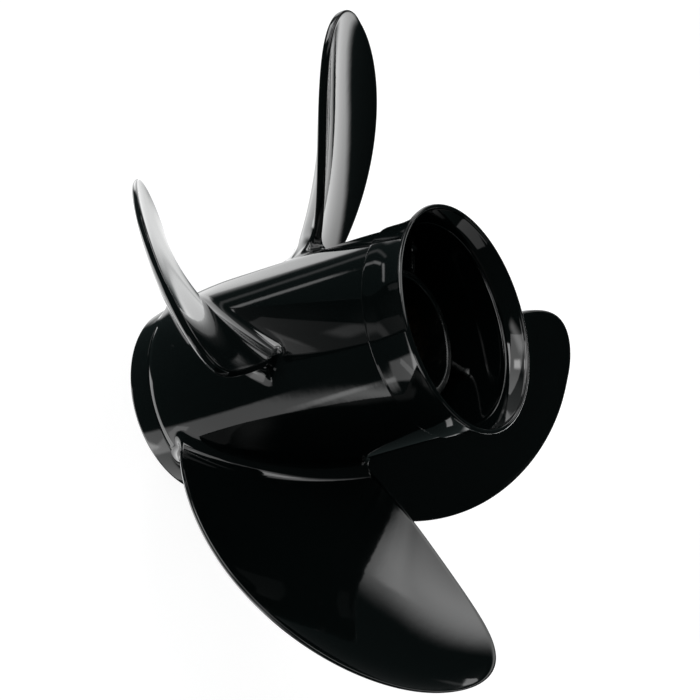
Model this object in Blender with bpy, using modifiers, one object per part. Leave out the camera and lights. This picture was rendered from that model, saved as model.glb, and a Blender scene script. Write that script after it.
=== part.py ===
# Four-bladed outboard motor propeller with a through-hub exhaust, 13 in across, right-handed.
# It stands on its flat front rim: +Z is the shaft axis and points aft, z = 0 is the front rim,
# and the open flared end is at the top. Blade 1 grows from the barrel towards +X.
# The barrel, its front and flared ends, the blades, the inner hub and the ribs are one aluminium
# casting. Here they are separate solids that keep a seat gap to each other.

import math

import bmesh
import bpy
from mathutils import Matrix, Vector

# Gaps and fineness
SEAT_GAP = 0.0003
BARREL_STEPS = 80
HUB_STEPS = 48
FACE_POINTS = 13
EDGE_POINTS = 3
BLADE_STATIONS = 13

# Barrel, measured along the shaft from the front rim
OVERALL_LENGTH = 0.1674
FRONT_RING_LENGTH = 0.0150
FLARE_LENGTH = 0.0235
BARREL_REAR_RADIUS = 0.0506
BARREL_TAPER = 0.0257
FRONT_DRAW_IN = 0.0052
FRONT_DRAW_IN_LENGTH = 0.0500
FRONT_WALL = 0.0037
REAR_WALL = 0.0026
RING_EDGE_ROUND = 0.0007
FRONT_EDGE_ROUND = 0.0009

# Flared rear ring
FLARE_PROUD = 0.0006
FLARE_STRAIGHT = 0.0090
RIM_SPREAD = 0.0040
RIM_WALL = 0.0022
MOUTH_DEPTH = 0.0107

# Inner hub that holds the bushing
HUB_RADIUS = 0.0316
HUB_WALL = 0.0040
HUB_FRONT_SETBACK = 0.0080
HUB_REAR_SETBACK = 0.0300
HUB_EDGE_ROUND = 0.0010
SHOULDER_RADIUS = 0.0225
SHOULDER_LENGTH = 0.0060

# Ribs between the inner hub and the barrel
RIB_COUNT = 4
RIB_THICKNESS = 0.0040
RIB_PHASE = math.radians(7.0)
RIB_FRONT_SETBACK = 0.0160
RIB_REAR_STEP = 0.0015

# Rubber bushing and splined sleeve
BUSHING_FRONT_GAP = 0.0080
BUSHING_LENGTH = 0.0700
BUSHING_FIT = 0.0003
SLEEVE_RADIUS = 0.0170
SLEEVE_OVERHANG = 0.0100
SPLINE_TEETH = 15
SPLINE_MAJOR_RADIUS = 0.0131
SPLINE_MINOR_RADIUS = 0.0114

# Blades: values at the root, one third, two thirds and the tip of the blade's height
BLADE_COUNT = 4
TIP_RADIUS = 0.1651
TIP_FLAT = 0.0090
ROOT_INSET = 0.0044
CHORD_ROOT = 0.0830
CHORD_THIRD = 0.1150
CHORD_TWO_THIRDS = 0.1450
CHORD_TIP = 0.1897
OUTLINE_POWER = 2.93
OUTLINE_FULLNESS = 0.475
HEIGHT_ROOT = 0.0520
HEIGHT_THIRD = 0.0750
HEIGHT_TWO_THIRDS = 0.0973
HEIGHT_TIP = 0.1297
PITCH_ROOT = 0.4273
PITCH_THIRD = 0.4179
PITCH_TWO_THIRDS = 0.4103
PITCH_TIP = 0.3804
SKEW_THIRD = math.radians(6.2)
SKEW_TWO_THIRDS = math.radians(12.6)
SKEW_TIP = math.radians(22.6)
THICKNESS_ROOT = 0.0095
THICKNESS_THIRD = 0.0076
THICKNESS_TWO_THIRDS = 0.0053
THICKNESS_TIP = 0.0042
CAMBER = 0.027
TRAILING_EDGE = 0.0045
LEADING_EDGE = 0.0034
FILLET_SUCTION = 0.0130
FILLET_PRESSURE = 0.0085
FILLET_SPREAD = 0.6
FILLET_LEADING = 0.2

# Colours and finishes of the parts
FINISHES = {
    "black_paint": ((0.010, 0.011, 0.012), 0.12, 0.0),
    "black_rubber": ((0.020, 0.020, 0.020), 0.70, 0.0),
    "sleeve_brass": ((0.620, 0.450, 0.200), 0.35, 1.0),
}


def clear_scene():
    for item in list(bpy.data.objects):
        bpy.data.objects.remove(item)


def new_collection(name):
    group = bpy.data.collections.new(name)
    bpy.context.scene.collection.children.link(group)
    return group


def finish(name, kind):
    colour, roughness, metallic = FINISHES[kind]
    material = bpy.data.materials.new(name + "_" + kind)
    material.use_nodes = True
    shader = material.node_tree.nodes["Principled BSDF"]
    shader.inputs["Base Color"].default_value = (*colour, 1.0)
    shader.inputs["Roughness"].default_value = roughness
    shader.inputs["Metallic"].default_value = metallic
    return material


def add_part(name, mesh, kind, group):
    part = bpy.data.objects.new(name, mesh)
    group.objects.link(part)
    part.data.materials.append(finish(name, kind))
    return part


def turned(name, profile, steps, closed):
    # The profile lists (radius, height) down the outer side and, on a ring, back up the inner one
    mesh = bpy.data.meshes.new(name)
    last = len(profile) if closed else len(profile) - 1
    edges = [(i, (i + 1) % len(profile)) for i in range(last)]
    mesh.from_pydata([(radius, 0.0, height) for radius, height in profile], edges, [])
    part = bpy.data.objects.new(name, mesh)
    screw = part.modifiers.new("turn", "SCREW")
    screw.angle = 2.0 * math.pi
    screw.steps = steps
    screw.render_steps = steps
    screw.use_merge_vertices = True
    screw.merge_threshold = 0.00001
    screw.use_smooth_shade = True
    return part


def add_turned(name, profile, steps, kind, group):
    part = turned(name, profile, steps, True)
    part.data.materials.append(finish(name, kind))
    group.objects.link(part)
    return part


def outer_radius(height):
    # Barrel surface: a straight taper that draws in towards the front rim
    barrel_end = OVERALL_LENGTH - FLARE_LENGTH
    straight = BARREL_REAR_RADIUS + BARREL_TAPER * (barrel_end - height)
    share = max(0.0, 1.0 - height / FRONT_DRAW_IN_LENGTH)
    return straight - FRONT_DRAW_IN * share * share


def bore_radius(height):
    # The bore widens evenly from the front rim to the edge of the mouth
    front = outer_radius(0.0) - FRONT_WALL
    rear = BARREL_REAR_RADIUS - REAR_WALL
    return front + (rear - front) * height / (OVERALL_LENGTH - MOUTH_DEPTH)


def add_front_ring(group):
    top = FRONT_RING_LENGTH - SEAT_GAP / 2.0
    nick = RING_EDGE_ROUND
    front = FRONT_EDGE_ROUND
    profile = [
        (outer_radius(top) - nick, top),
        (outer_radius(top - nick), top - nick),
        (outer_radius(top / 2.0), top / 2.0),
        (outer_radius(front), front),
        (outer_radius(0.0) - 0.3 * front, 0.3 * front),
        (outer_radius(0.0) - front, 0.0),
        (bore_radius(0.0), 0.0),
        (bore_radius(top), top),
    ]
    return add_turned("front_ring", profile, BARREL_STEPS, "black_paint", group)


def add_barrel(group):
    bottom = FRONT_RING_LENGTH + SEAT_GAP / 2.0
    top = OVERALL_LENGTH - FLARE_LENGTH - SEAT_GAP / 2.0
    nick = RING_EDGE_ROUND
    profile = [(outer_radius(top) - nick, top), (outer_radius(top - nick), top - nick)]
    bend = max(FRONT_DRAW_IN_LENGTH, bottom + 3.0 * nick)
    if bend < top - 3.0 * nick:
        profile.append((outer_radius(bend), bend))
    for share in (0.7, 0.4):
        height = bottom + nick + share * (min(bend, top) - bottom - nick)
        profile.append((outer_radius(height), height))
    profile.append((outer_radius(bottom + nick), bottom + nick))
    profile.append((outer_radius(bottom) - nick, bottom))
    profile.append((bore_radius(bottom), bottom))
    profile.append((bore_radius(top), top))
    return add_turned("barrel", profile, BARREL_STEPS, "black_paint", group)


def add_flared_ring(group):
    bottom = OVERALL_LENGTH - FLARE_LENGTH + SEAT_GAP / 2.0
    start_radius = outer_radius(bottom) + FLARE_PROUD
    flare_start = bottom + FLARE_STRAIGHT
    rim_radius = BARREL_REAR_RADIUS + RIM_SPREAD
    tip = RIM_WALL / 2.0
    centre_height = OVERALL_LENGTH - tip
    centre_radius = rim_radius - tip
    profile = []
    # Rounded rim, from its inner side over the top to its outer side
    for index in range(5):
        angle = math.radians(180.0 - 45.0 * index)
        profile.append((centre_radius + tip * math.cos(angle), centre_height + tip * math.sin(angle)))
    # Outer side curls in from the rim to the straight part
    for share in (0.75, 0.5, 0.25, 0.0):
        height = flare_start + share * (centre_height - flare_start)
        profile.append((start_radius + (rim_radius - start_radius) * share ** 1.7, height))
    profile.append((start_radius, bottom + RING_EDGE_ROUND))
    profile.append((start_radius - RING_EDGE_ROUND, bottom))
    # Inner side: the bore up to the mouth, then the curve out to the rim
    mouth = OVERALL_LENGTH - MOUTH_DEPTH
    profile.append((bore_radius(bottom), bottom))
    profile.append((bore_radius(mouth), mouth))
    inner_rim = rim_radius - RIM_WALL
    for share in (0.3, 0.6, 0.85):
        height = mouth + share * (centre_height - mouth)
        profile.append((bore_radius(mouth) + (inner_rim - bore_radius(mouth)) * share ** 1.4, height))
    return add_turned("flared_ring", profile, BARREL_STEPS, "black_paint", group)


def add_inner_hub(group):
    bottom = HUB_FRONT_SETBACK
    top = OVERALL_LENGTH - HUB_REAR_SETBACK
    nick = HUB_EDGE_ROUND
    inner = HUB_RADIUS - HUB_WALL
    shoulder_top = bottom + SHOULDER_LENGTH
    profile = [
        (HUB_RADIUS - nick, top),
        (HUB_RADIUS, top - nick),
        (HUB_RADIUS, bottom + nick),
        (HUB_RADIUS - nick, bottom),
        (SHOULDER_RADIUS + nick, bottom),
        (SHOULDER_RADIUS, bottom + nick),
        (SHOULDER_RADIUS, shoulder_top),
        (inner, shoulder_top),
        (inner, top - nick),
        (inner + nick, top),
    ]
    return add_turned("inner_hub", profile, HUB_STEPS, "black_paint", group)


def bushing_span():
    bottom = HUB_FRONT_SETBACK + SHOULDER_LENGTH + BUSHING_FRONT_GAP
    return bottom, bottom + BUSHING_LENGTH


def add_bushing(group):
    bottom, top = bushing_span()
    outer = (HUB_RADIUS - HUB_WALL) * math.cos(math.pi / HUB_STEPS) - BUSHING_FIT
    inner = SLEEVE_RADIUS + SEAT_GAP
    nick = 0.05 * (outer - inner) + HUB_EDGE_ROUND
    profile = [
        (outer - nick, top),
        (outer, top - nick),
        (outer, bottom + nick),
        (outer - nick, bottom),
        (inner, bottom),
        (inner, top),
    ]
    return add_turned("rubber_bushing", profile, HUB_STEPS, "black_rubber", group)


def add_sleeve(group):
    # Round outside, with spline teeth cut along the whole bore
    bushing_bottom, bushing_top = bushing_span()
    bottom = bushing_bottom - SLEEVE_OVERHANG
    top = bushing_top + SLEEVE_OVERHANG
    shape = bmesh.new()
    sides = 4 * SPLINE_TEETH
    outline = []
    bore = []
    for index in range(sides):
        angle = 2.0 * math.pi * (index + 0.5) / sides
        radius = SPLINE_MAJOR_RADIUS if index % 4 < 2 else SPLINE_MINOR_RADIUS
        outline.append((SLEEVE_RADIUS * math.cos(angle), SLEEVE_RADIUS * math.sin(angle)))
        bore.append((radius * math.cos(angle), radius * math.sin(angle)))
    rings = []
    for points, height in ((outline, bottom), (outline, top), (bore, top), (bore, bottom)):
        rings.append([shape.verts.new((x, y, height)) for x, y in points])
    for lower, upper in zip(rings, rings[1:] + rings[:1]):
        for index in range(sides):
            after = (index + 1) % sides
            shape.faces.new((lower[index], lower[after], upper[after], upper[index]))
    mesh = bpy.data.meshes.new("spline_sleeve")
    shape.to_mesh(mesh)
    shape.free()
    return add_part("spline_sleeve", mesh, "sleeve_brass", group)


def add_ribs(group):
    # Flat webs whose outer edge follows the taper of the bore
    bottom = RIB_FRONT_SETBACK
    top = OVERALL_LENGTH - HUB_REAR_SETBACK - RIB_REAR_STEP
    half = RIB_THICKNESS / 2.0
    for index in range(RIB_COUNT):
        name = "rib_%d" % (index + 1)
        shape = bmesh.new()
        bmesh.ops.create_cube(shape, size=1.0)
        for vert in shape.verts:
            height = top if vert.co.z > 0.0 else bottom
            if vert.co.x > 0.0:
                flat = bore_radius(height) * math.cos(math.pi / BARREL_STEPS) - SEAT_GAP
                reach = math.sqrt(flat * flat - half * half)
            else:
                reach = HUB_RADIUS + SEAT_GAP
            side = half if vert.co.y > 0.0 else -half
            vert.co = Vector((reach, side, height))
        turn = RIB_PHASE - 2.0 * math.pi * index / RIB_COUNT
        bmesh.ops.transform(shape, matrix=Matrix.Rotation(turn, 4, "Z"), verts=shape.verts)
        mesh = bpy.data.meshes.new(name)
        shape.to_mesh(mesh)
        shape.free()
        add_part(name, mesh, "black_paint", group)


def through(values, share):
    # Smooth curve through four values at the root, one third, two thirds and the tip
    a, b, c, d = values
    s = 3.0 * share
    return (
        -a * (s - 1.0) * (s - 2.0) * (s - 3.0) / 6.0
        + b * s * (s - 2.0) * (s - 3.0) / 2.0
        - c * s * (s - 1.0) * (s - 3.0) / 2.0
        + d * s * (s - 1.0) * (s - 2.0) / 6.0
    )


def blade_section(share):
    # Closed outline (along the chord, towards the suction side), trailing edge at minus half chord
    full = through((CHORD_ROOT, CHORD_THIRD, CHORD_TWO_THIRDS, CHORD_TIP), share)
    rounding = max(0.0, 1.0 - max(share, 0.0) ** OUTLINE_POWER) ** OUTLINE_FULLNESS
    chord = max(full * rounding, TIP_FLAT)
    thickness = through((THICKNESS_ROOT, THICKNESS_THIRD, THICKNESS_TWO_THIRDS, THICKNESS_TIP), share)
    trailing = min(TRAILING_EDGE, 0.4 * chord) / 2.0
    leading = min(LEADING_EDGE, 0.4 * chord) / 2.0
    start = -chord / 2.0 + trailing
    end = chord / 2.0 - leading

    def face(side):
        points = []
        for index in range(FACE_POINTS):
            s = -math.cos(math.pi * index / (FACE_POINTS - 1))
            edge = trailing + (leading - trailing) * (s + 1.0) / 2.0
            crown = (1.0 - s * s) * min(1.0, chord / CHORD_ROOT)
            half = edge + max(0.0, thickness / 2.0 - edge) * crown
            middle = CAMBER * chord * (1.0 - s * s)
            points.append((start + (end - start) * (s + 1.0) / 2.0, middle + side * half))
        return points

    def nose(centre, radius, first):
        points = []
        for index in range(EDGE_POINTS):
            angle = first + math.pi * (index + 1) / (EDGE_POINTS + 1)
            points.append((centre + radius * math.cos(angle), radius * math.sin(angle)))
        return points

    outline = face(-1.0)
    outline += nose(end, leading, -math.pi / 2.0)
    outline += list(reversed(face(1.0)))
    outline += nose(start, trailing, math.pi / 2.0)
    return outline


def widened(outline, suction, pressure):
    # Moves an outline outwards, by one amount on the suction side and another on the pressure side,
    # and by a smaller share of it round the leading edge
    count = len(outline)
    moved = []
    for index, (u, v) in enumerate(outline):
        before = Vector(outline[index - 1])
        after = Vector(outline[(index + 1) % count])
        run = (after - before).normalized()
        normal = Vector((run.y, -run.x))
        share = 0.5 + 0.5 * normal.y
        amount = pressure + (suction - pressure) * share
        amount *= 1.0 - (1.0 - FILLET_LEADING) * max(0.0, normal.x)
        moved.append((u + amount * normal.x, v + amount * normal.y))
    return moved


def fillet_reach(height, radius):
    # How far a root fillet stands out from the blade at a height above the barrel
    spread = FILLET_SPREAD * radius
    if height >= radius:
        return 0.0
    if height <= 0.0:
        return spread * (1.0 - 2.0 * height / radius)
    return spread * (1.0 - height / radius) ** 2


def blade_loop(shape, height):
    # One ring of points at a height above the barrel's surface under the blade
    surface = outer_radius(HEIGHT_ROOT)
    radius = surface + height
    root = BARREL_REAR_RADIUS - ROOT_INSET
    share = (radius - root) / (TIP_RADIUS - root)
    pitch = through((PITCH_ROOT, PITCH_THIRD, PITCH_TWO_THIRDS, PITCH_TIP), share)
    middle = through((HEIGHT_ROOT, HEIGHT_THIRD, HEIGHT_TWO_THIRDS, HEIGHT_TIP), share)
    skew = through((0.0, SKEW_THIRD, SKEW_TWO_THIRDS, SKEW_TIP), share)
    slope = math.atan2(pitch, 2.0 * math.pi * radius)
    outline = blade_section(share)
    outline = widened(outline, fillet_reach(height, FILLET_SUCTION), fillet_reach(height, FILLET_PRESSURE))
    follow = max(0.0, 1.0 - max(height, 0.0) / (3.0 * FILLET_SUCTION)) ** 2
    ring = []
    for u, v in outline:
        arc = u * math.cos(slope) - v * math.sin(slope)
        z = middle - u * math.sin(slope) - v * math.cos(slope)
        reach = radius + follow * (outer_radius(z) - surface)
        angle = skew - arc / radius
        ring.append(shape.verts.new((reach * math.cos(angle), reach * math.sin(angle), z)))
    return ring


def blade_heights():
    # Steps through the root fillet, then steps that shorten towards the tip
    heights = [share * FILLET_SUCTION for share in (-0.3, 0.0, 0.12, 0.3, 0.6, 1.0)]
    top = TIP_RADIUS - outer_radius(HEIGHT_ROOT)
    for index in range(1, BLADE_STATIONS + 1):
        share = math.sin(0.5 * math.pi * index / BLADE_STATIONS)
        heights.append(FILLET_SUCTION + (top - FILLET_SUCTION) * share)
    return heights


def blade_mesh():
    shape = bmesh.new()
    rings = [blade_loop(shape, height) for height in blade_heights()]
    count = len(rings[0])
    for lower, upper in zip(rings, rings[1:]):
        for index in range(count):
            after = (index + 1) % count
            shape.faces.new((lower[index], lower[after], upper[after], upper[index]))
    shape.faces.new(list(reversed(rings[0])))
    shape.faces.new(rings[-1])
    bmesh.ops.triangulate(shape, faces=[face for face in shape.faces if len(face.verts) > 4])
    bmesh.ops.recalc_face_normals(shape, faces=shape.faces)
    mesh = bpy.data.meshes.new("blade")
    shape.to_mesh(mesh)
    shape.free()
    mesh.shade_smooth()
    return mesh


def barrel_cutter(group):
    # The barrel's outside, one seat gap larger, solid to the axis
    top = OVERALL_LENGTH
    profile = [(0.0, top)]
    steps = 24
    for index in range(steps + 1):
        height = top * (1.0 - index / steps)
        profile.append((outer_radius(height) + SEAT_GAP, height))
    profile.append((0.0, 0.0))
    cutter = turned("barrel_cutter", profile, BARREL_STEPS, False)
    cutter.hide_render = True
    cutter.display_type = "WIRE"
    group.objects.link(cutter)
    return cutter


def add_blades(group, cutter):
    mesh = blade_mesh()
    for index in range(BLADE_COUNT):
        name = "blade_%d" % (index + 1)
        part = add_part(name, mesh.copy(), "black_paint", group)
        part.rotation_euler.z = -2.0 * math.pi * index / BLADE_COUNT
        cut = part.modifiers.new("seat", "BOOLEAN")
        cut.operation = "DIFFERENCE"
        cut.solver = "EXACT"
        cut.object = cutter


def main():
    clear_scene()
    propeller = new_collection("outboard_propeller")
    cutters = new_collection("cutters")
    add_front_ring(propeller)
    add_barrel(propeller)
    add_flared_ring(propeller)
    add_inner_hub(propeller)
    add_bushing(propeller)
    add_sleeve(propeller)
    add_ribs(propeller)
    add_blades(propeller, barrel_cutter(cutters))


main()
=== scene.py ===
import math

import bmesh
import bpy
from mathutils import Matrix, Vector


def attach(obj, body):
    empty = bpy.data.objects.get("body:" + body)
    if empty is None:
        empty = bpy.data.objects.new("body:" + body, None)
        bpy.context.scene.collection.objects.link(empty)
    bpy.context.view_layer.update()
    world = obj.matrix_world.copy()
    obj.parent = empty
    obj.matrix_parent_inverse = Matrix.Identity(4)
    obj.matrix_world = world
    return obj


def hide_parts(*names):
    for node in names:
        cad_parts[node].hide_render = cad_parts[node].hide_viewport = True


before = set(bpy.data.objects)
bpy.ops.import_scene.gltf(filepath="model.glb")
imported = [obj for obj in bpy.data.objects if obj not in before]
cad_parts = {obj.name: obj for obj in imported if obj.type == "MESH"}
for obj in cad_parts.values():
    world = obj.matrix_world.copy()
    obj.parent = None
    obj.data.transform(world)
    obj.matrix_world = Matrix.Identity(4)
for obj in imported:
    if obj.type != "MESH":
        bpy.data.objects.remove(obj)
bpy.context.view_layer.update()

scene = bpy.context.scene


# small helpers, and how finely they work: distances are in metres

meshing = {
    "bevelSegments": 4,
    "spinMerge": 1e-6,
    "wrapMerge": 2e-6,
    "loopReach": 2e-6,         # how far a point may lie from the corner that names its loop
    "sliver": 1e-7,
    "noChord": 1e-6,           # a blade section shorter than this is a point
    "noSlope": 1e-9,
}


def sumOf(values, weights):
    return sum(value * weight for value, weight in zip(values, weights))


def smoothStep(edge0, edge1, value):
    share = min(1.0, max(0.0, (value - edge0) / (edge1 - edge0)))
    return share * share * (3.0 - 2.0 * share)


def ringShape(profile, steps):
    # spins a closed (radius, height) profile round the shaft axis
    shape = bmesh.new()
    verts = [shape.verts.new((radius, 0.0, height)) for radius, height in profile]
    edges = [shape.edges.new((a, b)) for a, b in zip(verts, verts[1:] + verts[:1])]
    bmesh.ops.spin(shape, geom=verts + edges, cent=(0, 0, 0), axis=(0, 0, 1),
                   angle=2 * math.pi, steps=steps, use_merge=True)
    bmesh.ops.remove_doubles(shape, verts=shape.verts, dist=meshing["spinMerge"])
    bmesh.ops.recalc_face_normals(shape, faces=shape.faces)
    return shape


def roundLoops(shape, corners):
    # bevels the edge loops that run through the given (radius, height, width) corners
    near = meshing["loopReach"]
    for radius, height, width in corners:
        loop = [edge for edge in shape.edges
                if all(abs(v.co.z - height) < near and abs(v.co.xy.length - radius) < near
                       for v in edge.verts)]
        bmesh.ops.bevel(shape, geom=loop, offset=width, offset_type="OFFSET",
                        segments=meshing["bevelSegments"], profile=0.5, affect="EDGES",
                        material=-1)


def wrapGrid(around, rows, pointAt):
    # bends a flat grid round into a tube, its place given by pointAt(row, column),
    # and closes what is still open at its ends
    shape = bmesh.new()
    bmesh.ops.create_grid(shape, x_segments=around, y_segments=rows - 1, size=1.0)
    for vert in shape.verts:
        column = round((vert.co.x + 1.0) / 2.0 * around) % around
        row = round((vert.co.y + 1.0) / 2.0 * (rows - 1))
        vert.co = pointAt(row, column)
    bmesh.ops.remove_doubles(shape, verts=shape.verts, dist=meshing["wrapMerge"])
    bmesh.ops.dissolve_degenerate(shape, dist=meshing["sliver"], edges=shape.edges)
    bmesh.ops.holes_fill(shape, edges=[edge for edge in shape.edges if edge.is_boundary],
                         sides=0)
    bmesh.ops.triangulate(shape, faces=[face for face in shape.faces if len(face.verts) > 4])
    bmesh.ops.recalc_face_normals(shape, faces=shape.faces)
    return shape


def addPiece(name, shape, material, nodeNames, smooth=True):
    mesh = bpy.data.meshes.new(name)
    shape.to_mesh(mesh)
    shape.free()
    if smooth:
        mesh.shade_smooth()
    mesh.materials.append(material)
    piece = bpy.data.objects.new(name, mesh)
    scene.collection.objects.link(piece)
    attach(piece, "root")
    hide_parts(*nodeNames)
    print("made", name, "with", len(mesh.polygons), "faces")


# shader maths

class Socket:
    # wraps a node's output, so that + - * and abs build Math nodes
    def __init__(self, tree, output):
        self.tree = tree
        self.output = output

    def math(self, operation, *values):
        return Nodes(self.tree).node("ShaderNodeMath", {"operation": operation},
                                     dict(enumerate(values)))

    def __add__(self, other):
        return self.math("ADD", self, other)

    def __radd__(self, other):
        return self.math("ADD", other, self)

    def __sub__(self, other):
        return self.math("SUBTRACT", self, other)

    def __rsub__(self, other):
        return self.math("SUBTRACT", other, self)

    def __mul__(self, other):
        return self.math("MULTIPLY", self, other)

    def __rmul__(self, other):
        return self.math("MULTIPLY", other, self)

    def __abs__(self):
        return self.math("ABSOLUTE", self)


class Nodes:
    # adds nodes to one tree
    def __init__(self, tree):
        self.tree = tree

    def node(self, kind, settings=None, inputs=None, output=0):
        # settings first, such as an operation, then the values or links of its sockets
        node = self.tree.nodes.new(kind)
        for key, value in (settings or {}).items():
            setattr(node, key, value)
        for key, value in (inputs or {}).items():
            if isinstance(value, Socket):
                self.tree.links.new(value.output, node.inputs[key])
            else:
                node.inputs[key].default_value = value
        return Socket(self.tree, node.outputs[output])

    def ramp(self, value, low, high, curve="LINEAR"):
        # 0 below low, 1 above high
        return self.node("ShaderNodeMapRange", {"clamp": True, "interpolation_type": curve},
                         {"Value": value, "From Min": low, "From Max": high})

    def noise(self, place, pattern):
        scale, detail, roughness = pattern
        return self.node("ShaderNodeTexNoise", None,
                         {"Vector": place, "Scale": scale, "Detail": detail,
                          "Roughness": roughness})

    def patches(self, place, pattern, spread):
        # noise that starts at the spread's first value and is full at its second
        return self.ramp(self.noise(place, pattern), *spread)

    def dot(self, vector, fixed):
        return self.node("ShaderNodeVectorMath", {"operation": "DOT_PRODUCT"},
                         {0: vector, 1: fixed}, output=1)

    def mixColour(self, factor, first, second):
        # 6 and 7 are the two colour sockets of a Mix node, and output 2 is its colour
        return self.node("ShaderNodeMix", {"data_type": "RGBA"},
                         {0: factor, 6: first, 7: second}, output=2)

    def bump(self, height, distance, under=None):
        inputs = {"Height": height, "Distance": distance, "Strength": 1.0}
        if under is not None:
            inputs["Normal"] = under
        return self.node("ShaderNodeBump", None, inputs)


class Finish(Nodes):
    # a material under construction
    def __init__(self, name):
        self.material = bpy.data.materials.new(name)
        self.material.use_nodes = True
        super().__init__(self.material.node_tree)
        self.shader = self.tree.nodes["Principled BSDF"]

    def plug(self, name, value):
        if isinstance(value, Socket):
            self.tree.links.new(value.output, self.shader.inputs[name])
        else:
            self.shader.inputs[name].default_value = value

    def place(self):
        # output 3 is Object
        return self.node("ShaderNodeTexCoord", output=3)


# gloss black enamel on the casting. In every finish a pattern is a noise's scale, detail
# and roughness, a spread is where the pattern starts and is full, a height is in metres

enamel = {
    "colour": (0.0012, 0.0020, 0.0020, 1.0),
    "dustColour": (0.018, 0.020, 0.020, 1.0),
    "roughness": 0.045,
    "ior": 1.5,
    "swell": (24.0, 1.0, 0.4),       # slow swells left by hand grinding, about 4 cm across
    "swellHeight": 0.00016,
    "ripple": (170.0, 2.0, 0.5),     # ripples of the cast skin under the enamel
    "rippleHeight": 0.000013,
    "peel": (700.0, 2.0, 0.5),       # orange peel of the enamel
    "peelHeight": 0.0000022,
    "haze": (9.0, 4.0, 0.6),
    "hazeSpread": (0.45, 0.75),
    "hazeShare": 0.03,
    "hazeRoughness": 0.075,
    "speck": (900.0, 1.0, 0.3),
    "speckSpread": (0.79, 0.84),
    "speckShare": 0.25,
    "speckRoughness": 0.08,          # what a speck adds
}


def enamelFinish():
    finish = Finish("glossBlackEnamel")
    place = finish.place()
    haze = finish.patches(place, enamel["haze"], enamel["hazeSpread"])
    speck = finish.patches(place, enamel["speck"], enamel["speckSpread"])
    dust = speck * enamel["speckShare"] + haze * enamel["hazeShare"]
    finish.plug("Base Color", finish.mixColour(dust, enamel["colour"], enamel["dustColour"]))
    dulled = haze * (enamel["hazeRoughness"] - enamel["roughness"])
    finish.plug("Roughness", dulled + speck * enamel["speckRoughness"] + enamel["roughness"])
    finish.plug("IOR", enamel["ior"])
    skin = finish.bump(finish.noise(place, enamel["swell"]), enamel["swellHeight"])
    skin = finish.bump(finish.noise(place, enamel["ripple"]), enamel["rippleHeight"], skin)
    skin = finish.bump(finish.noise(place, enamel["peel"]), enamel["peelHeight"], skin)
    finish.plug("Normal", skin)
    return finish.material


# the same enamel where the core of the casting is left rough

core = {
    "dustColour": (0.022, 0.022, 0.020, 1.0),
    "roughness": 0.16,
    "lumps": (130.0, 2.0, 0.5),
    "lumpHeight": 0.00010,
    "grain": (900.0, 3.0, 0.6),
    "grainHeight": 0.000035,
    "speck": (420.0, 2.0, 0.5),
    "speckSpread": (0.66, 0.74),
    "speckShare": 0.3,
    "speckRise": 1.5,                # in heights of the grain
    "dust": (70.0, 5.0, 0.7),
    "dustSpread": (0.50, 0.78),
    "dustShare": 0.35,
    "dustRoughness": 0.25,           # what dust adds
}


def coreFinish():
    finish = Finish("coreBlackEnamel")
    place = finish.place()
    speck = finish.patches(place, core["speck"], core["speckSpread"])
    dust = finish.patches(place, core["dust"], core["dustSpread"])
    dirt = dust * core["dustShare"] + speck * core["speckShare"]
    finish.plug("Base Color", finish.mixColour(dirt, enamel["colour"], core["dustColour"]))
    finish.plug("Roughness", dust * core["dustRoughness"] + core["roughness"])
    finish.plug("IOR", enamel["ior"])
    lumps = finish.bump(finish.noise(place, core["lumps"]), core["lumpHeight"])
    grit = finish.noise(place, core["grain"]) + speck * core["speckRise"]
    finish.plug("Normal", finish.bump(grit, core["grainHeight"], lumps))
    return finish.material


# moulded rubber of the bushing

rubber = {
    "colour": (0.017, 0.017, 0.018, 1.0),
    "bloomColour": (0.045, 0.045, 0.043, 1.0),
    "roughness": 0.55,
    "bloom": (60.0, 4.0, 0.6),
    "bloomSpread": (0.45, 0.75),
    "bloomShare": 0.6,
    "bloomRoughness": 0.2,           # what bloom adds
    "grain": (1400.0, 3.0, 0.6),
    "grainHeight": 0.00003,
    "grainRoughness": 0.1,
    "grainShare": 0.6,               # of the grain's height, beside the flow marks
    "flow": (90.0, 2.0, 0.5),
}


def rubberFinish():
    finish = Finish("mouldedRubber")
    place = finish.place()
    bloom = finish.patches(place, rubber["bloom"], rubber["bloomSpread"])
    grain = finish.noise(place, rubber["grain"])
    flow = finish.noise(place, rubber["flow"])
    finish.plug("Base Color", finish.mixColour(bloom * rubber["bloomShare"], rubber["colour"],
                                               rubber["bloomColour"]))
    finish.plug("Roughness", bloom * rubber["bloomRoughness"] + grain * rubber["grainRoughness"]
                + rubber["roughness"])
    finish.plug("Normal", finish.bump(grain * rubber["grainShare"] + flow,
                                      rubber["grainHeight"]))
    return finish.material


# broached brass of the sleeve

brass = {
    "colour": (0.60, 0.40, 0.16, 1.0),
    "tarnishColour": (0.26, 0.15, 0.06, 1.0),
    "roughness": 0.24,
    "squeeze": (1.0, 1.0, 0.02),     # broach marks run along the shaft
    "cut": (2600.0, 2.0, 0.5),
    "cutHeight": 0.000012,
    "cutRoughness": 0.12,
    "tarnish": (160.0, 5.0, 0.65),
    "tarnishSpread": (0.48, 0.74),
    "tarnishShare": 0.7,
    "tarnishRoughness": 0.25,        # what tarnish adds
}


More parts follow.
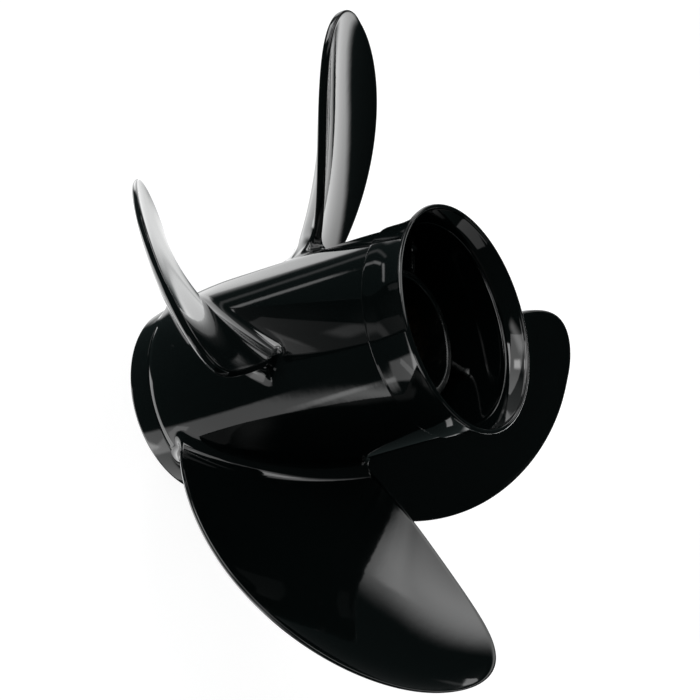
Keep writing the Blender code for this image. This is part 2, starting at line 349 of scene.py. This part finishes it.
def brassFinish():
    finish = Finish("broachedBrass")
    place = finish.place()
    along = finish.node("ShaderNodeMapping", None, {"Vector": place, "Scale": brass["squeeze"]})
    marks = finish.noise(along, brass["cut"])
    tarnish = finish.patches(place, brass["tarnish"], brass["tarnishSpread"])
    finish.plug("Base Color", finish.mixColour(tarnish * brass["tarnishShare"], brass["colour"],
                                               brass["tarnishColour"]))
    finish.plug("Metallic", 1.0)
    finish.plug("Roughness", tarnish * brass["tarnishRoughness"] + marks * brass["cutRoughness"]
                + brass["roughness"])
    finish.plug("Normal", finish.bump(marks, brass["cutHeight"]))
    return finish.material


glossBlack = enamelFinish()
coreBlack = coreFinish()
blackRubber = rubberFinish()
sleeveBrass = brassFinish()
print("finishes ready")


# barrel, with its front band and flared rear ring

barrel = {
    "steps": 288,
    "length": 0.1674,
    "rearRadius": 0.0506,
    "taper": 0.0257,
    "drawIn": 0.0052,
    "drawInLength": 0.0500,
    "frontWall": 0.0037,
    "rearWall": 0.0026,
    "frontRound": 0.0008,
    "innerRoundShare": 0.6,    # of the front rounding, on the bore's side
    "bandLength": 0.0150,
    "grooveDepth": 0.00020,
    "grooveReach": 0.0005,     # the groove's brim and floor, each way from its middle
    "grooveFloor": 0.00015,
    "flareLength": 0.0235,
    "flareGap": 0.0008,        # the last row of the side stops this far below the ring
    "flareProud": 0.0011,
    "flareStraight": 0.0060,
    "flareRows": (0.25, 0.6),  # shares of the straight part
    "flareCurve": 2.1,
    "stepRound": 0.00055,
    "footRoundShare": 0.3,     # of the step's rounding, at its foot
    "rimSpread": 0.0040,
    "rimWall": 0.0022,
    "mouthDepth": 0.0107,
    "mouthCurve": 1.6,         # 1 is a plain cone from the bore to the rim
    "edgeRound": 0.0008,
    "undercut": 0.0006,        # the bore steps back behind the edge of the mouth
    "undercutLength": 0.012,
    "bandRows": 9,
    "sideRows": 40,
    "curlRows": 14,
    "rimPoints": 12,
    "boreRows": 32,
}


def outerRadius(height):
    # straight taper that draws in towards the front rim
    fromRing = barrel["length"] - barrel["flareLength"] - height
    straight = barrel["rearRadius"] + barrel["taper"] * fromRing
    share = max(0.0, 1.0 - height / barrel["drawInLength"])
    return straight - barrel["drawIn"] * share * share


def boreRadius(height):
    front = outerRadius(0.0) - barrel["frontWall"]
    rear = barrel["rearRadius"] - barrel["rearWall"]
    return front + (rear - front) * height / (barrel["length"] - barrel["mouthDepth"])


def barrelShape():
    top = barrel["length"]
    step = top - barrel["flareLength"]
    band = barrel["bandLength"]
    depth = barrel["grooveDepth"]
    reach = barrel["grooveReach"]
    floor = barrel["grooveFloor"]
    profile = []
    # outer side from the front rim, over the fine groove of the front band, up to the flared ring
    for index in range(barrel["bandRows"]):
        height = band * index / barrel["bandRows"]
        profile.append((outerRadius(height), height))
    for offset, sunk in ((-reach, 0.0), (-floor, depth), (floor, depth), (reach, 0.0)):
        profile.append((outerRadius(band + offset) - sunk, band + offset))
    for index in range(1, barrel["sideRows"] + 1):
        height = band + (step - barrel["flareGap"] - band) * index / barrel["sideRows"]
        profile.append((outerRadius(height), height))
    foot = (outerRadius(step), step)
    shoulder = (outerRadius(step) + barrel["flareProud"], step)
    profile += [foot, shoulder]
    # the flared ring: straight, then curling out to the rounded rim
    rim = barrel["rearRadius"] + barrel["rimSpread"]
    tip = barrel["rimWall"] / 2.0
    rimHeight = top - tip
    curlStart = step + barrel["flareStraight"]
    profile += [(shoulder[0], step + share * barrel["flareStraight"])
                for share in barrel["flareRows"]]
    for index in range(barrel["curlRows"]):
        share = index / barrel["curlRows"]
        profile.append((shoulder[0] + (rim - shoulder[0]) * share ** barrel["flareCurve"],
                        curlStart + share * (rimHeight - curlStart)))
    for index in range(barrel["rimPoints"] + 1):
        angle = math.pi * index / barrel["rimPoints"]
        profile.append((rim - tip + tip * math.cos(angle), rimHeight + tip * math.sin(angle)))
    # inside: the mouth's curve down to the edge of the bore, then the bore down to the front rim
    mouth = top - barrel["mouthDepth"]
    edge = (boreRadius(mouth), mouth)
    innerRim = rim - barrel["rimWall"]
    for index in range(barrel["curlRows"] - 1, 0, -1):
        share = index / barrel["curlRows"]
        profile.append((edge[0] + (innerRim - edge[0]) * share ** barrel["mouthCurve"],
                        mouth + share * (rimHeight - mouth)))
    profile.append(edge)
    undercut = barrel["undercut"]
    profile.append((edge[0] + undercut, mouth - undercut))
    for index in range(barrel["boreRows"], 0, -1):
        height = (mouth - undercut) * (index - 0.5) / barrel["boreRows"]
        behind = max(0.0, 1.0 - (mouth - height) / barrel["undercutLength"])
        profile.append((boreRadius(height) + undercut * behind, height))
    profile.append((boreRadius(0.0), 0.0))
    shape = ringShape(profile, barrel["steps"])
    roundLoops(shape, [(outerRadius(0.0), 0.0, barrel["frontRound"]),
                       (boreRadius(0.0), 0.0, barrel["frontRound"] * barrel["innerRoundShare"]),
                       (shoulder[0], shoulder[1], barrel["stepRound"]),
                       (foot[0], foot[1], barrel["stepRound"] * barrel["footRoundShare"]),
                       (edge[0], edge[1], barrel["edgeRound"])])
    return shape


addPiece("barrelShell", barrelShape(), glossBlack,
         ["barrel", "front_ring", "flared_ring"])


# blades

blade = {
    "count": 4,
    "tipRadius": 0.1650,
    "rootRadius": 0.0462,
    # at the root, one third, two thirds and the tip; the skew is in degrees
    "chord": (0.0830, 0.1150, 0.1450, 0.1897),
    "height": (0.0520, 0.0750, 0.0973, 0.1297),
    "pitch": (0.4273, 0.4179, 0.4103, 0.3804),
    "skew": (0.0, 6.2, 12.6, 22.6),
    "thickness": (0.0095, 0.0076, 0.0053, 0.0042),
    "outlinePower": 2.93,
    "outlineFullness": 0.475,
    "camber": 0.027,
    "trailingEdge": 0.0045,
    "leadingEdge": 0.0034,
    "edgeLimit": 0.42,         # share of the chord that one edge may take up
    "trailingBlunt": 3.4,      # 2 is a round edge, more is blunter
    "leadingBlunt": 2.1,
    "suctionFillet": 0.0130,
    "pressureFillet": 0.0085,
    "leadingFilletShare": 0.30,
    "trailingFilletShare": 0.75,
    "followFillets": 3.0,      # the root follows the barrel's taper this many fillets out
    # the foot is sunk in the barrel: how far each row stands out, and how deep it lies
    "foot": ((0.0025, 0.0015), (0.0020, 0.00015), (0.0010, 0.00002)),
    "facePoints": 44,
    "edgePoints": 9,
    "filletRows": 14,
    "spanRows": 62,
    "spanEase": 4.0,           # rows that the span would need to reach the very tip
    "tipRows": 9,
    "tipEase": 2.2,
}


def through(values, share):
    # smooth curve through four values at the root, one third, two thirds and the tip
    s = 3.0 * share
    return sumOf(values, (-(s - 1) * (s - 2) * (s - 3) / 6, s * (s - 2) * (s - 3) / 2,
                          -s * (s - 1) * (s - 3) / 2, s * (s - 1) * (s - 2) / 6))


def bladeColumns():
    # round a section: pressure face, leading edge, suction face, trailing edge. On a face
    # the value runs from -1 to 1 along the chord, at an edge it is an angle from the very edge
    faces = blade["facePoints"]
    noses = blade["edgePoints"]
    across = [-math.cos(math.pi * (index + 0.5) / faces) for index in range(faces)]
    angles = [0.5 * math.pi * index / (noses + 0.5) for index in range(-noses, noses + 1)]
    columns = [("face", -1, value) for value in across]
    columns += [("leading", 1 if angle > 0 else -1, abs(angle)) for angle in angles]
    columns += [("face", 1, -value) for value in across]
    columns += [("trailing", -1 if angle > 0 else 1, abs(angle)) for angle in angles]
    return columns


def bladeSection(share, column):
    # a point of a section: its place along the chord, and its height towards the suction side
    kind, side, value = column
    power = blade["outlinePower"]
    fullness = blade["outlineFullness"]
    span = blade["tipRadius"] - blade["rootRadius"]
    along = min(1.0, max(0.0, share))
    inside = 1.0 - along ** power
    full = through(blade["chord"], min(share, 1.0))
    chord = full * inside ** fullness
    if chord < meshing["noChord"]:
        return 0.0, 0.0
    outlineFall = power * along ** (power - 1) / span
    lean = math.hypot(1.0, 0.5 * full * fullness * inside ** (fullness - 1) * outlineFall)
    edges = {"trailing": blade["trailingEdge"] / 2.0, "leading": blade["leadingEdge"] / 2.0}
    blunts = {"trailing": blade["trailingBlunt"], "leading": blade["leadingBlunt"]}
    zones = {name: min(edges[name] * lean, blade["edgeLimit"] * chord) for name in edges}
    if kind == "face":
        flat = chord - zones["trailing"] - zones["leading"]
        u = -chord / 2 + zones["trailing"] + flat * (value + 1) / 2
    else:
        inward = zones[kind] * (1.0 - math.cos(value) ** (2.0 / blunts[kind]))
        u = chord / 2 - inward if kind == "leading" else inward - chord / 2
    s = max(-1.0, min(1.0, 2.0 * u / chord))
    edge = edges["trailing"] + (edges["leading"] - edges["trailing"]) * (s + 1.0) / 2.0
    blunt = blunts["trailing"] + (blunts["leading"] - blunts["trailing"]) * (s + 1.0) / 2.0
    # the distance to the outline sets how far the edge is rounded off here
    wide = min(1.0, abs(2.0 * u) / full)
    chordFall = wide ** (1.0 / fullness - 1.0) / fullness * 2.0 / full
    outlineSlope = max(math.hypot(outlineFall, chordFall), meshing["noSlope"])
    distance = max(0.0, inside - wide ** (1.0 / fullness)) / outlineSlope
    rounding = (1.0 - (1.0 - min(1.0, distance / edge)) ** blunt) ** (1.0 / blunt)
    crown = (1.0 - s * s) * min(1.0, chord / blade["chord"][0])
    thickness = through(blade["thickness"], share)
    half = (edge + max(0.0, thickness / 2.0 - edge) * crown) * rounding
    return u, blade["camber"] * chord * (1.0 - s * s) + side * half


def filletRadius(normal):
    # large on the suction side, smaller on the pressure side and smaller still round the two edges
    grow = blade["suctionFillet"] - blade["pressureFillet"]
    size = blade["pressureFillet"] + grow * (normal.y + 1.0) / 2.0
    endShare = blade["leadingFilletShare"] if normal.x > 0 else blade["trailingFilletShare"]
    return size * (1.0 - (1.0 - endShare) * normal.x ** 2)


def bladePoint(u, v, height):
    # wraps a point of the section at a height above the barrel round the shaft
    surface = outerRadius(blade["height"][0])
    radius = surface + height
    share = (radius - blade["rootRadius"]) / (blade["tipRadius"] - blade["rootRadius"])
    slope = math.atan2(through(blade["pitch"], share), 2.0 * math.pi * radius)
    arc = u * math.cos(slope) - v * math.sin(slope)
    z = through(blade["height"], share) - u * math.sin(slope) - v * math.cos(slope)
    followEnd = blade["followFillets"] * blade["suctionFillet"]
    follow = max(0.0, 1.0 - max(height, 0.0) / followEnd) ** 2
    reach = radius + follow * (outerRadius(z) - surface)
    angle = math.radians(through(blade["skew"], share)) - arc / radius
    return Vector((reach * math.cos(angle), reach * math.sin(angle), z))


def bladeShape():
    columns = bladeColumns()
    around = len(columns)
    surface = outerRadius(blade["height"][0])
    top = blade["tipRadius"] - surface
    span = blade["tipRadius"] - blade["rootRadius"]

    def shareAt(height):
        return (surface + height - blade["rootRadius"]) / span

    # which way each column faces at the root, and how large its fillet is
    root = [Vector(bladeSection(shareAt(0.0), column)) for column in columns]
    normals = []
    for index in range(around):
        run = (root[(index + 1) % around] - root[index - 1]).normalized()
        normals.append(Vector((run.y, -run.x)))
    sizes = [filletRadius(normal) for normal in normals]

    # sunk foot, fillet, span and rounded tip
    rows = [("foot", out, sunk) for out, sunk in blade["foot"]]
    rows += [("fillet", 0.5 * math.pi * index / blade["filletRows"], 0.0)
             for index in range(blade["filletRows"] + 1)]
    allRows = blade["spanRows"] + blade["spanEase"]
    rows += [("span", math.sin(0.5 * math.pi * index / allRows), 0.0)
             for index in range(1, blade["spanRows"] + 1)]
    last = 1.0 - rows[-1][1]
    rows += [("span", 1.0 - last * (1.0 - index / blade["tipRows"]) ** blade["tipEase"], 0.0)
             for index in range(1, blade["tipRows"] + 1)]

    def pointAt(row, index):
        kind, value, sunk = rows[row]
        size = sizes[index]
        if kind == "foot":
            height = -sunk
            grow = size + value
        elif kind == "fillet":
            height = size * (1.0 - math.cos(value))
            grow = size * (1.0 - math.sin(value))
        else:
            height = size + (top - size) * value
            grow = 0.0
        u, v = bladeSection(shareAt(max(height, 0.0)), columns[index])
        return bladePoint(u + grow * normals[index].x, v + grow * normals[index].y, height)

    return wrapGrid(around, len(rows), pointAt)


firstBlade = bladeShape()
openEdges = sum(1 for edge in firstBlade.edges if not edge.is_manifold)
print("blade shape:", len(firstBlade.faces), "faces,", openEdges, "open edges")
for number in range(blade["count"]):
    turnedBlade = firstBlade.copy()
    turn = Matrix.Rotation(-2.0 * math.pi * number / blade["count"], 4, "Z")
    bmesh.ops.transform(turnedBlade, matrix=turn, verts=turnedBlade.verts)
    addPiece("bladeCasting%d" % (number + 1), turnedBlade, glossBlack,
             ["blade_%d" % (number + 1)])
firstBlade.free()


# inner hub tube

hub = {
    "steps": 192,
    "radius": 0.0316,
    "wall": 0.0040,
    "frontSetback": 0.0080,
    "rearSetback": 0.0300,
    "edgeRound": 0.0008,
    "shoulderRadius": 0.0225,
    "shoulderLength": 0.0060,
    "shoulderRound": 0.0006,
    "wallRows": 12,
}


def hubShape():
    bottom = hub["frontSetback"]
    top = barrel["length"] - hub["rearSetback"]
    inner = hub["radius"] - hub["wall"]
    shoulder = bottom + hub["shoulderLength"]
    rows = hub["wallRows"]
    profile = [(hub["radius"], top)]
    for index in range(1, rows):
        profile.append((hub["radius"], top + (bottom - top) * index / rows))
    profile += [(hub["radius"], bottom), (hub["shoulderRadius"], bottom),
                (hub["shoulderRadius"], shoulder), (inner, shoulder)]
    for index in range(1, rows):
        profile.append((inner, shoulder + (top - shoulder) * index / rows))
    profile.append((inner, top))
    shape = ringShape(profile, hub["steps"])
    roundLoops(shape, [(hub["radius"], top, hub["edgeRound"]), (inner, top, hub["edgeRound"]),
                       (hub["radius"], bottom, hub["edgeRound"]),
                       (hub["shoulderRadius"], bottom, hub["shoulderRound"])])
    return shape


addPiece("hubTube", hubShape(), coreBlack, ["inner_hub"])


# ribs between the hub tube and the barrel

rib = {
    "count": 4,
    "thickness": 0.0040,
    "phase": 7.0,              # degrees
    "frontSetback": 0.0160,
    "rearStep": 0.0015,
    "rearRound": 0.0016,
    "rootSpread": 0.0040,      # how far the fillets reach where the web runs into the walls
    "rootSwell": 0.3,          # how much of that the web gains in thickness on each side
    "rootCurve": 2.5,
    "sink": 0.0008,
    "rows": 26,
    "sideRows": 8,
    "roundPoints": 6,
}


def ribShape(number):
    bottom = rib["frontSetback"]
    top = barrel["length"] - hub["rearSetback"] - rib["rearStep"]
    half = rib["thickness"] / 2.0
    bend = rib["rearRound"]
    # half of the web's outline as (side, height) with its rear corner rounded, then mirrored
    side = [(half, bottom + (top - bend - bottom) * index / rib["sideRows"])
            for index in range(rib["sideRows"] + 1)]
    for index in range(1, rib["roundPoints"] + 1):
        angle = 0.5 * math.pi * index / rib["roundPoints"]
        side.append((half - bend + bend * math.cos(angle), top - bend + bend * math.sin(angle)))
    outline = side + [(-y, z) for y, z in reversed(side)]

    def pointAt(row, column):
        y, z = outline[column]
        inner = hub["radius"] - rib["sink"]
        outer = boreRadius(z) + rib["sink"]
        share = 0.5 - 0.5 * math.cos(math.pi * row / (rib["rows"] - 1))
        reach = inner + (outer - inner) * share
        near = max(0.0, min(reach - hub["radius"], boreRadius(z) - reach))
        close = max(0.0, 1.0 - near / rib["rootSpread"])
        swell = rib["rootSwell"] * rib["rootSpread"] * close ** rib["rootCurve"]
        y += swell if y > 0 else -swell
        if z > top - bend:
            z += swell * (z - top + bend) / bend
        return Vector((reach, y, min(z, top + rib["rearStep"])))

    shape = wrapGrid(len(outline), rib["rows"], pointAt)
    turn = math.radians(rib["phase"]) - 2.0 * math.pi * number / rib["count"]
    bmesh.ops.transform(shape, matrix=Matrix.Rotation(turn, 4, "Z"), verts=shape.verts)
    return shape


for number in range(rib["count"]):
    addPiece("ribWeb%d" % (number + 1), ribShape(number), coreBlack,
             ["rib_%d" % (number + 1)])


# rubber bushing

bushing = {
    "steps": 144,
    "bottom": 0.0220,
    "length": 0.0700,
    "fit": 0.00005,
    "inner": 0.01702,
    "lip": 0.0010,
    "dish": 0.0016,
    "endRows": 12,
    "wallRows": 8,
}


def bushingShape():
    bottom = bushing["bottom"]
    top = bottom + bushing["length"]
    outer = hub["radius"] - hub["wall"] - bushing["fit"]
    inner = bushing["inner"]
    rows = bushing["wallRows"]
    profile = []
    for end, sign in ((top, -1), (bottom, 1)):
        ring = []
        for index in range(bushing["endRows"] + 1):
            share = index / bushing["endRows"]
            sunk = bushing["dish"] * math.sin(math.pi * share) ** 2
            ring.append((inner + (outer - inner) * share, end + sign * sunk))
        profile += ring if sign < 0 else list(reversed(ring))
        if sign < 0:
            for index in range(1, rows):
                profile.append((outer, top + (bottom - top) * index / rows))
    for index in range(1, rows):
        profile.append((inner, bottom + (top - bottom) * index / rows))
    shape = ringShape(profile, bushing["steps"])
    roundLoops(shape, [(outer, top, bushing["lip"]), (outer, bottom, bushing["lip"])])
    return shape


addPiece("rubberBushing", bushingShape(), blackRubber, ["rubber_bushing"])


# splined sleeve

sleeve = {
    "bottom": 0.0120,
    "top": 0.1020,
    "radius": 0.0170,
    "teeth": 15,
    "major": 0.0131,
    "minor": 0.0114,
    "flank": 0.55,             # more makes the flanks of the teeth flatter
    "perTooth": 12,
    "chamfer": 0.0006,
}


def sleeveShape():
    sides = sleeve["teeth"] * sleeve["perTooth"]
    bottom = sleeve["bottom"]
    top = sleeve["top"]
    cut = sleeve["chamfer"]
    depth = sleeve["major"] - sleeve["minor"]
    # up the outside and down the bore, as the wall, the height and what the radius gains
    rings = [("out", bottom + cut, 0.0), ("out", top - cut, 0.0), ("out", top, -cut),
             ("in", top, cut), ("in", top - 2 * cut, 0.0), ("in", bottom + 2 * cut, 0.0),
             ("in", bottom, cut), ("out", bottom, -cut)]

    def pointAt(row, column):
        # the last row falls on the first one again, which closes the sleeve
        kind, height, grow = rings[row % len(rings)]
        angle = 2.0 * math.pi * column / sides
        if kind == "out":
            radius = sleeve["radius"] + grow
        else:
            # tooth flanks are steep, lands and roots are round
            wave = math.cos(angle * sleeve["teeth"])
            tooth = smoothStep(-sleeve["flank"], sleeve["flank"], wave)
            radius = max(sleeve["minor"] + depth * tooth, sleeve["minor"] + grow)
        return Vector((radius * math.cos(angle), radius * math.sin(angle), height))

    return wrapGrid(sides, len(rings) + 1, pointAt)


addPiece("splinedSleeve", sleeveShape(), sleeveBrass, ["spline_sleeve"],
         smooth=False)


# camera, at the photograph's viewing angle

photoView = {
    "lens": 79.461,
    "sensorWidth": 36.0,
    "clipStart": 0.01,
    "place": ((0.1111474, 0.8379078, -0.53437513, -0.39774739),
              (-0.5885189, 0.48877908, 0.64400351, 0.48167186),
              (0.80080695, 0.24291054, 0.5474511, 0.50849969),
              (0.0, 0.0, 0.0, 1.0)),
}

camera = bpy.data.cameras.new("photoCamera")
camera.lens = photoView["lens"]
camera.sensor_width = photoView["sensorWidth"]
camera.clip_start = photoView["clipStart"]
cameraRig = bpy.data.objects.new("photoCamera", camera)
cameraRig.matrix_world = Matrix(photoView["place"])
scene.collection.objects.link(cameraRig)
scene.camera = cameraRig
scene.view_settings.view_transform = "Standard"
print("camera placed")


# studio: a pale floor, and soft boxes from half a metre to four metres away

studio = {
    "floorSize": 24.0,
    "floorColour": (0.25, 0.25, 0.25, 1.0),
    "floorRoughness": 0.9,
    "floorGlowColour": (1.0, 1.0, 1.0, 1.0),
    "floorGlow": 0.93,
    "backdrop": (0.97, 0.97, 0.97, 1.0),
    "ambient": 0.036,
    "ambientColour": (0.75, 1.0, 1.0, 1.0),
    "aim": (0.0, 0.0, 0.0837),
}

# turn and rise are degrees round and above the propeller, counted from the camera's side;
# width and height are half sizes across, and they and the soft edge are shares of the
# distance, which is in metres
softboxes = [
    {"turn": -19.6, "rise": 59.1, "roll": 24.8, "width": 0.224, "height": 0.657,
     "edge": 0.020, "strength": 1.93, "distance": 1.87},
    {"turn": 122.2, "rise": 56.9, "roll": -13.8, "width": 0.165, "height": 0.087,
     "edge": 0.021, "strength": 2.73, "distance": 1.11},
    {"turn": 155.8, "rise": -1.8, "roll": -21.6, "width": 0.335, "height": 0.395,
     "edge": 0.108, "strength": 1.83, "distance": 0.56},
    {"turn": -123.9, "rise": -17.4, "roll": -7.6, "width": 0.402, "height": 0.434,
     "edge": 0.062, "strength": 2.47, "distance": 4.00},
    {"turn": -165.5, "rise": 5.2, "roll": -28.6, "width": 0.311, "height": 0.066,
     "edge": 0.035, "strength": 1.14, "distance": 2.51},
    {"turn": -87.0, "rise": -40.3, "roll": -10.5, "width": 0.315, "height": 0.162,
     "edge": 0.053, "strength": 1.19, "distance": 4.00},
    {"turn": -66.0, "rise": -55.6, "roll": -9.2, "width": 0.025, "height": 0.167,
     "edge": 0.049, "strength": 1.93, "distance": 4.00},
    {"turn": 73.2, "rise": -52.3, "roll": 2.7, "width": 0.348, "height": 0.136,
     "edge": 0.020, "strength": 0.67, "distance": 1.53},
    {"turn": -179.3, "rise": 40.7, "roll": 25.9, "width": 0.395, "height": 0.488,
     "edge": 0.067, "strength": 1.14, "distance": 2.03},
    {"turn": -148.5, "rise": 5.0, "roll": 23.7, "width": 0.151, "height": 0.193,
     "edge": 0.123, "strength": 1.40, "distance": 1.83},
    {"turn": -51.3, "rise": 49.7, "roll": -54.1, "width": 0.433, "height": 0.162,
     "edge": 0.047, "strength": 5.84, "distance": 4.00},
    {"turn": -126.9, "rise": -48.6, "roll": 6.9, "width": 0.741, "height": 0.055,
     "edge": 0.020, "strength": 0.93, "distance": 4.00},
    {"turn": 172.5, "rise": 68.0, "roll": 6.7, "width": 0.372, "height": 0.846,
     "edge": 0.566, "strength": 0.35, "distance": 4.00},
    {"turn": -164.7, "rise": 7.1, "roll": 69.8, "width": 0.708, "height": 0.091,
     "edge": 0.172, "strength": 1.07, "distance": 4.00},
    {"turn": 65.1, "rise": 31.1, "roll": 6.0, "width": 0.900, "height": 0.133,
     "edge": 0.164, "strength": 2.32, "distance": 0.77},
    {"turn": -170.9, "rise": 61.2, "roll": -19.0, "width": 0.790, "height": 0.030,
     "edge": 0.058, "strength": 0.30, "distance": 2.83},
    {"turn": 40.2, "rise": 37.4, "roll": 26.5, "width": 0.247, "height": 0.035,
     "edge": 0.048, "strength": 1.21, "distance": 1.02},
    {"turn": 38.0, "rise": 48.0, "roll": -20.0, "width": 0.340, "height": 0.170,
     "edge": 0.280, "strength": 1.90, "distance": 2.52},
    {"turn": 1.4, "rise": 30.1, "roll": -26.8, "width": 0.091, "height": 0.273,
     "edge": 0.178, "strength": 2.08, "distance": 0.96},
    {"turn": -113.5, "rise": 42.0, "roll": 0.0, "width": 0.028, "height": 0.060,
     "edge": 0.030, "strength": 1.30, "distance": 3.00},
    {"turn": -107.0, "rise": 32.0, "roll": -35.0, "width": 0.150, "height": 0.022,
     "edge": 0.030, "strength": 1.60, "distance": 3.00},
    {"turn": -8.0, "rise": 57.0, "roll": 0.0, "width": 0.100, "height": 0.080,
     "edge": 0.080, "strength": 6.00, "distance": 2.00},
]


def addFloor():
    shape = bmesh.new()
    bmesh.ops.create_grid(shape, x_segments=1, y_segments=1, size=studio["floorSize"] / 2)
    mesh = bpy.data.meshes.new("studioFloor")
    shape.to_mesh(mesh)
    shape.free()
    finish = Finish("paleFloor")
    finish.plug("Base Color", studio["floorColour"])
    finish.plug("Roughness", studio["floorRoughness"])
    finish.plug("Emission Color", studio["floorGlowColour"])
    finish.plug("Emission Strength", studio["floorGlow"])
    mesh.materials.append(finish.material)
    floor = bpy.data.objects.new("studioFloor", mesh)
    scene.collection.objects.link(floor)
    # the gloss black would mirror a white floor all over, and some of the soft boxes stand
    # below the floor and shine up through it
    floor.visible_glossy = False
    floor.visible_shadow = False


def boxTurn(box):
    # a soft box's own axes, first from the camera's side, then turned into the scene's frame
    turn, rise, roll = (math.radians(box[key]) for key in ("turn", "rise", "roll"))
    facing = Vector((math.sin(turn) * math.cos(rise), math.sin(rise),
                     math.cos(turn) * math.cos(rise)))
    level = Vector((math.cos(turn), 0.0, -math.sin(turn)))
    upright = facing.cross(level)
    across = math.cos(roll) * level + math.sin(roll) * upright
    lengthways = math.cos(roll) * upright - math.sin(roll) * level
    return cameraRig.matrix_world.to_3x3() @ Matrix((across, lengthways, facing)).transposed()


def addSoftbox(number, box):
    distance = box["distance"]
    half = box["edge"] / 2.0
    sides = [2.0 * distance * (box[key] + half) for key in ("width", "height")]
    light = bpy.data.lights.new("softbox%d" % number, "AREA")
    light.shape = "RECTANGLE"
    light.size, light.size_y = sides
    light.energy = math.pi * sides[0] * sides[1] * box["strength"]
    light.use_nodes = True
    nodes = Nodes(light.node_tree)
    # output 5 is Parametric, which runs from 0 to 1 over the cloth
    cloth = nodes.node("ShaderNodeNewGeometry", output=5)

    def fade(axis, key):
        # the dot is 0 to 2 along the axis, so out is 0 at the middle and 1 at the edge
        out = abs(nodes.dot(cloth, axis) - 1.0)
        inner = (box[key] - half) / (box[key] + half)
        return 1.0 - nodes.ramp(out, inner, 1.0, "SMOOTHSTEP")

    glow = fade((2.0, 0.0, 0.0), "width") * fade((0.0, 2.0, 0.0), "height")
    emission = next(node for node in light.node_tree.nodes if node.type == "EMISSION")
    light.node_tree.links.new(glow.output, emission.inputs["Strength"])
    turned = boxTurn(box)
    middle = Vector(studio["aim"]) + distance * turned.col[2]
    rig = bpy.data.objects.new(light.name, light)
    rig.matrix_world = Matrix.Translation(middle) @ turned.to_4x4()
    rig.visible_camera = False
    scene.collection.objects.link(rig)


def lightStudio():
    for number, box in enumerate(softboxes, 1):
        addSoftbox(number, box)
    world = bpy.data.worlds.new("studioWorld")
    scene.world = world
    world.use_nodes = True
    tree = world.node_tree
    nodes = Nodes(tree)
    # white to the camera alone, dim to the propeller
    dim = tree.nodes["Background"]
    dim.inputs["Color"].default_value = studio["ambientColour"]
    dim.inputs["Strength"].default_value = studio["ambient"]
    seen = nodes.node("ShaderNodeBackground", None, {"Color": studio["backdrop"]})
    cameraRay = nodes.node("ShaderNodeLightPath")
    mix = nodes.node("ShaderNodeMixShader", None,
                     {0: cameraRay, 1: Socket(tree, dim.outputs[0]), 2: seen})
    tree.links.new(mix.output, tree.nodes["World Output"].inputs["Surface"])


addFloor()
lightStudio()
print("studio lit by", len(softboxes), "soft boxes")
